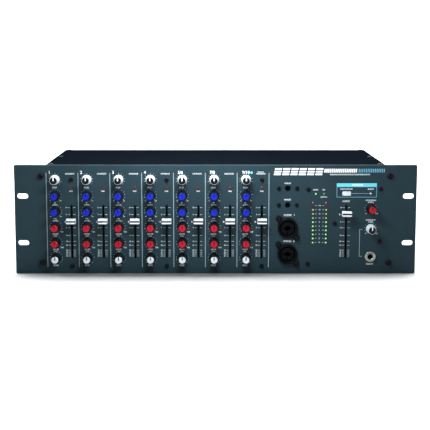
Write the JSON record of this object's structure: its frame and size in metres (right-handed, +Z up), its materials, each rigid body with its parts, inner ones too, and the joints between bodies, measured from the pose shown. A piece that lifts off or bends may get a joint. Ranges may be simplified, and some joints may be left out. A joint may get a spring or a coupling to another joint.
{
  "type": "rack mixer with wireless receiver",
  "caption": "Rack-mount audio mixer with a built-in wireless receiver: channel strips of rotary knobs and faders, level meters, front and rear sockets.",
  "frame": {"origin": "centre of the four rack slots, on the front panel's back face, which is the rack's mounting plane", "axes": "+X to the right seen from the front, +Y into the rack, +Z up; the panel faces -Y"},
  "size_m": [0.4826, 0.1647, 0.1328],
  "materials": {
    "panel_paint": "satin powder coat",
    "chassis_paint": "fine-texture powder coat",
    "circuit_board": "solder mask",
    "socket_black": "moulded",
    "black_screw": "black zinc",
    "grey_knob": "moulded",
    "blue_knob": "moulded",
    "red_knob": "moulded",
    "white_cap_knob": "moulded",
    "white_fader": "moulded",
    "white_button": "moulded",
    "print_white": "screen-printed ink",
    "print_cyan": "screen-printed ink",
    "black_plastic": "moulded",
    "light_green": "lit lens",
    "light_amber": "lens",
    "light_red": "lens",
    "light_white": "lit lens",
    "nickel": "nickel plate"
  },
  "bodies": {
    "unit": {"front_panel": "panel_paint", "chassis_tray": "chassis_paint", "top_cover": "chassis_paint", "circuit_boards": "circuit_board", "sockets": "socket_black", "fasteners": "black_screw"},
    "ch1_trim_knob": {"ch1_trim_knob": "grey_knob"},
    "ch1_eq_high_knob": {"ch1_eq_high_knob": "blue_knob"},
    "ch1_eq_low_knob": {"ch1_eq_low_knob": "blue_knob"},
    "ch1_aux_1_knob": {"ch1_aux_1_knob": "red_knob"},
    "ch1_aux_2_knob": {"ch1_aux_2_knob": "red_knob"},
    "ch1_pan_knob": {"ch1_pan_knob": "white_cap_knob"},
    "ch2_trim_knob": {"ch2_trim_knob": "grey_knob"},
    "ch2_eq_high_knob": {"ch2_eq_high_knob": "blue_knob"},
    "ch2_eq_low_knob": {"ch2_eq_low_knob": "blue_knob"},
    "ch2_aux_1_knob": {"ch2_aux_1_knob": "red_knob"},
    "ch2_aux_2_knob": {"ch2_aux_2_knob": "red_knob"},
    "ch2_pan_knob": {"ch2_pan_knob": "white_cap_knob"},
    "ch3_trim_knob": {"ch3_trim_knob": "grey_knob"},
    "ch3_eq_high_knob": {"ch3_eq_high_knob": "blue_knob"},
    "ch3_eq_low_knob": {"ch3_eq_low_knob": "blue_knob"},
    "ch3_aux_1_knob": {"ch3_aux_1_knob": "red_knob"},
    "ch3_aux_2_knob": {"ch3_aux_2_knob": "red_knob"},
    "ch3_pan_knob": {"ch3_pan_knob": "white_cap_knob"},
    "ch4_trim_knob": {"ch4_trim_knob": "grey_knob"},
    "ch4_eq_high_knob": {"ch4_eq_high_knob": "blue_knob"},
    "ch4_eq_low_knob": {"ch4_eq_low_knob": "blue_knob"},
    "ch4_aux_1_knob": {"ch4_aux_1_knob": "red_knob"},
    "ch4_aux_2_knob": {"ch4_aux_2_knob": "red_knob"},
    "ch4_pan_knob": {"ch4_pan_knob": "white_cap_knob"},
    "ch5_6_trim_knob": {"ch5_6_trim_knob": "grey_knob"},
    "ch5_6_eq_high_knob": {"ch5_6_eq_high_knob": "blue_knob"},
    "ch5_6_eq_low_knob": {"ch5_6_eq_low_knob": "blue_knob"},
    "ch5_6_aux_1_knob": {"ch5_6_aux_1_knob": "red_knob"},
    "ch5_6_aux_2_knob": {"ch5_6_aux_2_knob": "red_knob"},
    "ch5_6_pan_knob": {"ch5_6_pan_knob": "white_cap_knob"},
    "ch7_8_trim_knob": {"ch7_8_trim_knob": "grey_knob"},
    "ch7_8_eq_high_knob": {"ch7_8_eq_high_knob": "blue_knob"},
    "ch7_8_eq_low_knob": {"ch7_8_eq_low_knob": "blue_knob"},
    "ch7_8_aux_1_knob": {"ch7_8_aux_1_knob": "red_knob"},
    "ch7_8_aux_2_knob": {"ch7_8_aux_2_knob": "red_knob"},
    "ch7_8_pan_knob": {"ch7_8_pan_knob": "white_cap_knob"},
    "ch9_10_trim_knob": {"ch9_10_trim_knob": "grey_knob"},
    "ch9_10_eq_high_knob": {"ch9_10_eq_high_knob": "blue_knob"},
    "ch9_10_eq_low_knob": {"ch9_10_eq_low_knob": "blue_knob"},
    "ch9_10_aux_1_knob": {"ch9_10_aux_1_knob": "red_knob"},
    "ch9_10_aux_2_knob": {"ch9_10_aux_2_knob": "red_knob"},
    "ch9_10_pan_knob": {"ch9_10_pan_knob": "white_cap_knob"},
    "aux_return_knob": {"aux_return_knob": "red_knob"},
    "phones_level_knob": {"phones_level_knob": "grey_knob"},
    "ch1_fader": {"ch1_fader": "white_fader"},
    "ch2_fader": {"ch2_fader": "white_fader"},
    "ch3_fader": {"ch3_fader": "white_fader"},
    "ch4_fader": {"ch4_fader": "white_fader"},
    "ch5_6_fader": {"ch5_6_fader": "white_fader"},
    "ch7_8_fader": {"ch7_8_fader": "white_fader"},
    "ch9_10_fader": {"ch9_10_fader": "white_fader"},
    "master_fader": {"master_fader": "white_fader"},
    "pair_button": {"pair_button": "white_button"},
    "power_switch": {"power_switch": "socket_black"}
  },
  "joints": [
    {"name": "ch1_trim_knob_turn", "type": "hinge", "parent": "unit", "child": "ch1_trim_knob", "pos_m": [-0.1922, -0.003, 0.0488], "axis": [0, 1, 0], "range_deg": [-140, 140]},
    {"name": "ch1_eq_high_knob_turn", "type": "hinge", "parent": "unit", "child": "ch1_eq_high_knob", "pos_m": [-0.1922, -0.003, 0.0296], "axis": [0, 1, 0], "range_deg": [-140, 140]},
    {"name": "ch1_eq_low_knob_turn", "type": "hinge", "parent": "unit", "child": "ch1_eq_low_knob", "pos_m": [-0.1922, -0.003, 0.0104], "axis": [0, 1, 0], "range_deg": [-140, 140]},
    {"name": "ch1_aux_1_knob_turn", "type": "hinge", "parent": "unit", "child": "ch1_aux_1_knob", "pos_m": [-0.1922, -0.003, -0.0088], "axis": [0, 1, 0], "range_deg": [-140, 140]},
    {"name": "ch1_aux_2_knob_turn", "type": "hinge", "parent": "unit", "child": "ch1_aux_2_knob", "pos_m": [-0.1922, -0.003, -0.028], "axis": [0, 1, 0], "range_deg": [-140, 140]},
    {"name": "ch1_pan_knob_turn", "type": "hinge", "parent": "unit", "child": "ch1_pan_knob", "pos_m": [-0.1922, -0.003, -0.0472], "axis": [0, 1, 0], "range_deg": [-140, 140]},
    {"name": "ch2_trim_knob_turn", "type": "hinge", "parent": "unit", "child": "ch2_trim_knob", "pos_m": [-0.1541, -0.003, 0.0488], "axis": [0, 1, 0], "range_deg": [-140, 140]},
    {"name": "ch2_eq_high_knob_turn", "type": "hinge", "parent": "unit", "child": "ch2_eq_high_knob", "pos_m": [-0.1541, -0.003, 0.0296], "axis": [0, 1, 0], "range_deg": [-140, 140]},
    {"name": "ch2_eq_low_knob_turn", "type": "hinge", "parent": "unit", "child": "ch2_eq_low_knob", "pos_m": [-0.1541, -0.003, 0.0104], "axis": [0, 1, 0], "range_deg": [-140, 140]},
    {"name": "ch2_aux_1_knob_turn", "type": "hinge", "parent": "unit", "child": "ch2_aux_1_knob", "pos_m": [-0.1541, -0.003, -0.0088], "axis": [0, 1, 0], "range_deg": [-140, 140]},
    {"name": "ch2_aux_2_knob_turn", "type": "hinge", "parent": "unit", "child": "ch2_aux_2_knob", "pos_m": [-0.1541, -0.003, -0.028], "axis": [0, 1, 0], "range_deg": [-140, 140]},
    {"name": "ch2_pan_knob_turn", "type": "hinge", "parent": "unit", "child": "ch2_pan_knob", "pos_m": [-0.1541, -0.003, -0.0472], "axis": [0, 1, 0], "range_deg": [-140, 140]},
    {"name": "ch3_trim_knob_turn", "type": "hinge", "parent": "unit", "child": "ch3_trim_knob", "pos_m": [-0.116, -0.003, 0.0488], "axis": [0, 1, 0], "range_deg": [-140, 140]},
    {"name": "ch3_eq_high_knob_turn", "type": "hinge", "parent": "unit", "child": "ch3_eq_high_knob", "pos_m": [-0.116, -0.003, 0.0296], "axis": [0, 1, 0], "range_deg": [-140, 140]},
    {"name": "ch3_eq_low_knob_turn", "type": "hinge", "parent": "unit", "child": "ch3_eq_low_knob", "pos_m": [-0.116, -0.003, 0.0104], "axis": [0, 1, 0], "range_deg": [-140, 140]},
    {"name": "ch3_aux_1_knob_turn", "type": "hinge", "parent": "unit", "child": "ch3_aux_1_knob", "pos_m": [-0.116, -0.003, -0.0088], "axis": [0, 1, 0], "range_deg": [-140, 140]},
    {"name": "ch3_aux_2_knob_turn", "type": "hinge", "parent": "unit", "child": "ch3_aux_2_knob", "pos_m": [-0.116, -0.003, -0.028], "axis": [0, 1, 0], "range_deg": [-140, 140]},
    {"name": "ch3_pan_knob_turn", "type": "hinge", "parent": "unit", "child": "ch3_pan_knob", "pos_m": [-0.116, -0.003, -0.0472], "axis": [0, 1, 0], "range_deg": [-140, 140]},
    {"name": "ch4_trim_knob_turn", "type": "hinge", "parent": "unit", "child": "ch4_trim_knob", "pos_m": [-0.0779, -0.003, 0.0488], "axis": [0, 1, 0], "range_deg": [-140, 140]},
    {"name": "ch4_eq_high_knob_turn", "type": "hinge", "parent": "unit", "child": "ch4_eq_high_knob", "pos_m": [-0.0779, -0.003, 0.0296], "axis": [0, 1, 0], "range_deg": [-140, 140]},
    {"name": "ch4_eq_low_knob_turn", "type": "hinge", "parent": "unit", "child": "ch4_eq_low_knob", "pos_m": [-0.0779, -0.003, 0.0104], "axis": [0, 1, 0], "range_deg": [-140, 140]},
    {"name": "ch4_aux_1_knob_turn", "type": "hinge", "parent": "unit", "child": "ch4_aux_1_knob", "pos_m": [-0.0779, -0.003, -0.0088], "axis": [0, 1, 0], "range_deg": [-140, 140]},
    {"name": "ch4_aux_2_knob_turn", "type": "hinge", "parent": "unit", "child": "ch4_aux_2_knob", "pos_m": [-0.0779, -0.003, -0.028], "axis": [0, 1, 0], "range_deg": [-140, 140]},
    {"name": "ch4_pan_knob_turn", "type": "hinge", "parent": "unit", "child": "ch4_pan_knob", "pos_m": [-0.0779, -0.003, -0.0472], "axis": [0, 1, 0], "range_deg": [-140, 140]},
    {"name": "ch5_6_trim_knob_turn", "type": "hinge", "parent": "unit", "child": "ch5_6_trim_knob", "pos_m": [-0.0398, -0.003, 0.0488], "axis": [0, 1, 0], "range_deg": [-140, 140]},
    {"name": "ch5_6_eq_high_knob_turn", "type": "hinge", "parent": "unit", "child": "ch5_6_eq_high_knob", "pos_m": [-0.0398, -0.003, 0.0296], "axis": [0, 1, 0], "range_deg": [-140, 140]},
    {"name": "ch5_6_eq_low_knob_turn", "type": "hinge", "parent": "unit", "child": "ch5_6_eq_low_knob", "pos_m": [-0.0398, -0.003, 0.0104], "axis": [0, 1, 0], "range_deg": [-140, 140]},
    {"name": "ch5_6_aux_1_knob_turn", "type": "hinge", "parent": "unit", "child": "ch5_6_aux_1_knob", "pos_m": [-0.0398, -0.003, -0.0088], "axis": [0, 1, 0], "range_deg": [-140, 140]},
    {"name": "ch5_6_aux_2_knob_turn", "type": "hinge", "parent": "unit", "child": "ch5_6_aux_2_knob", "pos_m": [-0.0398, -0.003, -0.028], "axis": [0, 1, 0], "range_deg": [-140, 140]},
    {"name": "ch5_6_pan_knob_turn", "type": "hinge", "parent": "unit", "child": "ch5_6_pan_knob", "pos_m": [-0.0398, -0.003, -0.0472], "axis": [0, 1, 0], "range_deg": [-140, 140]},
    {"name": "ch7_8_trim_knob_turn", "type": "hinge", "parent": "unit", "child": "ch7_8_trim_knob", "pos_m": [-0.0017, -0.003, 0.0488], "axis": [0, 1, 0], "range_deg": [-140, 140]},
    {"name": "ch7_8_eq_high_knob_turn", "type": "hinge", "parent": "unit", "child": "ch7_8_eq_high_knob", "pos_m": [-0.0017, -0.003, 0.0296], "axis": [0, 1, 0], "range_deg": [-140, 140]},
    {"name": "ch7_8_eq_low_knob_turn", "type": "hinge", "parent": "unit", "child": "ch7_8_eq_low_knob", "pos_m": [-0.0017, -0.003, 0.0104], "axis": [0, 1, 0], "range_deg": [-140, 140]},
    {"name": "ch7_8_aux_1_knob_turn", "type": "hinge", "parent": "unit", "child": "ch7_8_aux_1_knob", "pos_m": [-0.0017, -0.003, -0.0088], "axis": [0, 1, 0], "range_deg": [-140, 140]},
    {"name": "ch7_8_aux_2_knob_turn", "type": "hinge", "parent": "unit", "child": "ch7_8_aux_2_knob", "pos_m": [-0.0017, -0.003, -0.028], "axis": [0, 1, 0], "range_deg": [-140, 140]},
    {"name": "ch7_8_pan_knob_turn", "type": "hinge", "parent": "unit", "child": "ch7_8_pan_knob", "pos_m": [-0.0017, -0.003, -0.0472], "axis": [0, 1, 0], "range_deg": [-140, 140]},
    {"name": "ch9_10_trim_knob_turn", "type": "hinge", "parent": "unit", "child": "ch9_10_trim_knob", "pos_m": [0.0364, -0.003, 0.0488], "axis": [0, 1, 0], "range_deg": [-140, 140]},
    {"name": "ch9_10_eq_high_knob_turn", "type": "hinge", "parent": "unit", "child": "ch9_10_eq_high_knob", "pos_m": [0.0364, -0.003, 0.0296], "axis": [0, 1, 0], "range_deg": [-140, 140]},
    {"name": "ch9_10_eq_low_knob_turn", "type": "hinge", "parent": "unit", "child": "ch9_10_eq_low_knob", "pos_m": [0.0364, -0.003, 0.0104], "axis": [0, 1, 0], "range_deg": [-140, 140]},
    {"name": "ch9_10_aux_1_knob_turn", "type": "hinge", "parent": "unit", "child": "ch9_10_aux_1_knob", "pos_m": [0.0364, -0.003, -0.0088], "axis": [0, 1, 0], "range_deg": [-140, 140]},
    {"name": "ch9_10_aux_2_knob_turn", "type": "hinge", "parent": "unit", "child": "ch9_10_aux_2_knob", "pos_m": [0.0364, -0.003, -0.028], "axis": [0, 1, 0], "range_deg": [-140, 140]},
    {"name": "ch9_10_pan_knob_turn", "type": "hinge", "parent": "unit", "child": "ch9_10_pan_knob", "pos_m": [0.0364, -0.003, -0.0472], "axis": [0, 1, 0], "range_deg": [-140, 140]},
    {"name": "aux_return_knob_turn", "type": "hinge", "parent": "unit", "child": "aux_return_knob", "pos_m": [0.1866, -0.003, 0.0133], "axis": [0, 1, 0], "range_deg": [-140, 140]},
    {"name": "phones_level_knob_turn", "type": "hinge", "parent": "unit", "child": "phones_level_knob", "pos_m": [0.1868, -0.003, -0.011], "axis": [0, 1, 0], "range_deg": [-140, 140]},
    {"name": "ch1_fader_slide", "type": "slide", "parent": "unit", "child": "ch1_fader", "axis": [0, 0, 1], "range_m": [-0.04395, 0.01605]},
    {"name": "ch2_fader_slide", "type": "slide", "parent": "unit", "child": "ch2_fader", "axis": [0, 0, 1], "range_m": [-0.04395, 0.01605]},
    {"name": "ch3_fader_slide", "type": "slide", "parent": "unit", "child": "ch3_fader", "axis": [0, 0, 1], "range_m": [-0.04395, 0.01605]},
    {"name": "ch4_fader_slide", "type": "slide", "parent": "unit", "child": "ch4_fader", "axis": [0, 0, 1], "range_m": [-0.04395, 0.01605]},
    {"name": "ch5_6_fader_slide", "type": "slide", "parent": "unit", "child": "ch5_6_fader", "axis": [0, 0, 1], "range_m": [-0.04395, 0.01605]},
    {"name": "ch7_8_fader_slide", "type": "slide", "parent": "unit", "child": "ch7_8_fader", "axis": [0, 0, 1], "range_m": [-0.04395, 0.01605]},
    {"name": "ch9_10_fader_slide", "type": "slide", "parent": "unit", "child": "ch9_10_fader", "axis": [0, 0, 1], "range_m": [-0.04395, 0.01605]},
    {"name": "master_fader_slide", "type": "slide", "parent": "unit", "child": "master_fader", "axis": [0, 0, 1], "range_m": [-0.05295, 0.00705]},
    {"name": "pair_button_press", "type": "slide", "parent": "unit", "child": "pair_button", "axis": [0, 1, 0], "range_m": [0, 0.0005], "stiffness_N_per_m": 600, "springref_m": -0.0015},
    {"name": "power_switch_rock", "type": "hinge", "parent": "unit", "child": "power_switch", "pos_m": [0.165, 0.143, 0.006], "axis": [1, 0, 0], "range_deg": [-18, 0]}
  ]
}
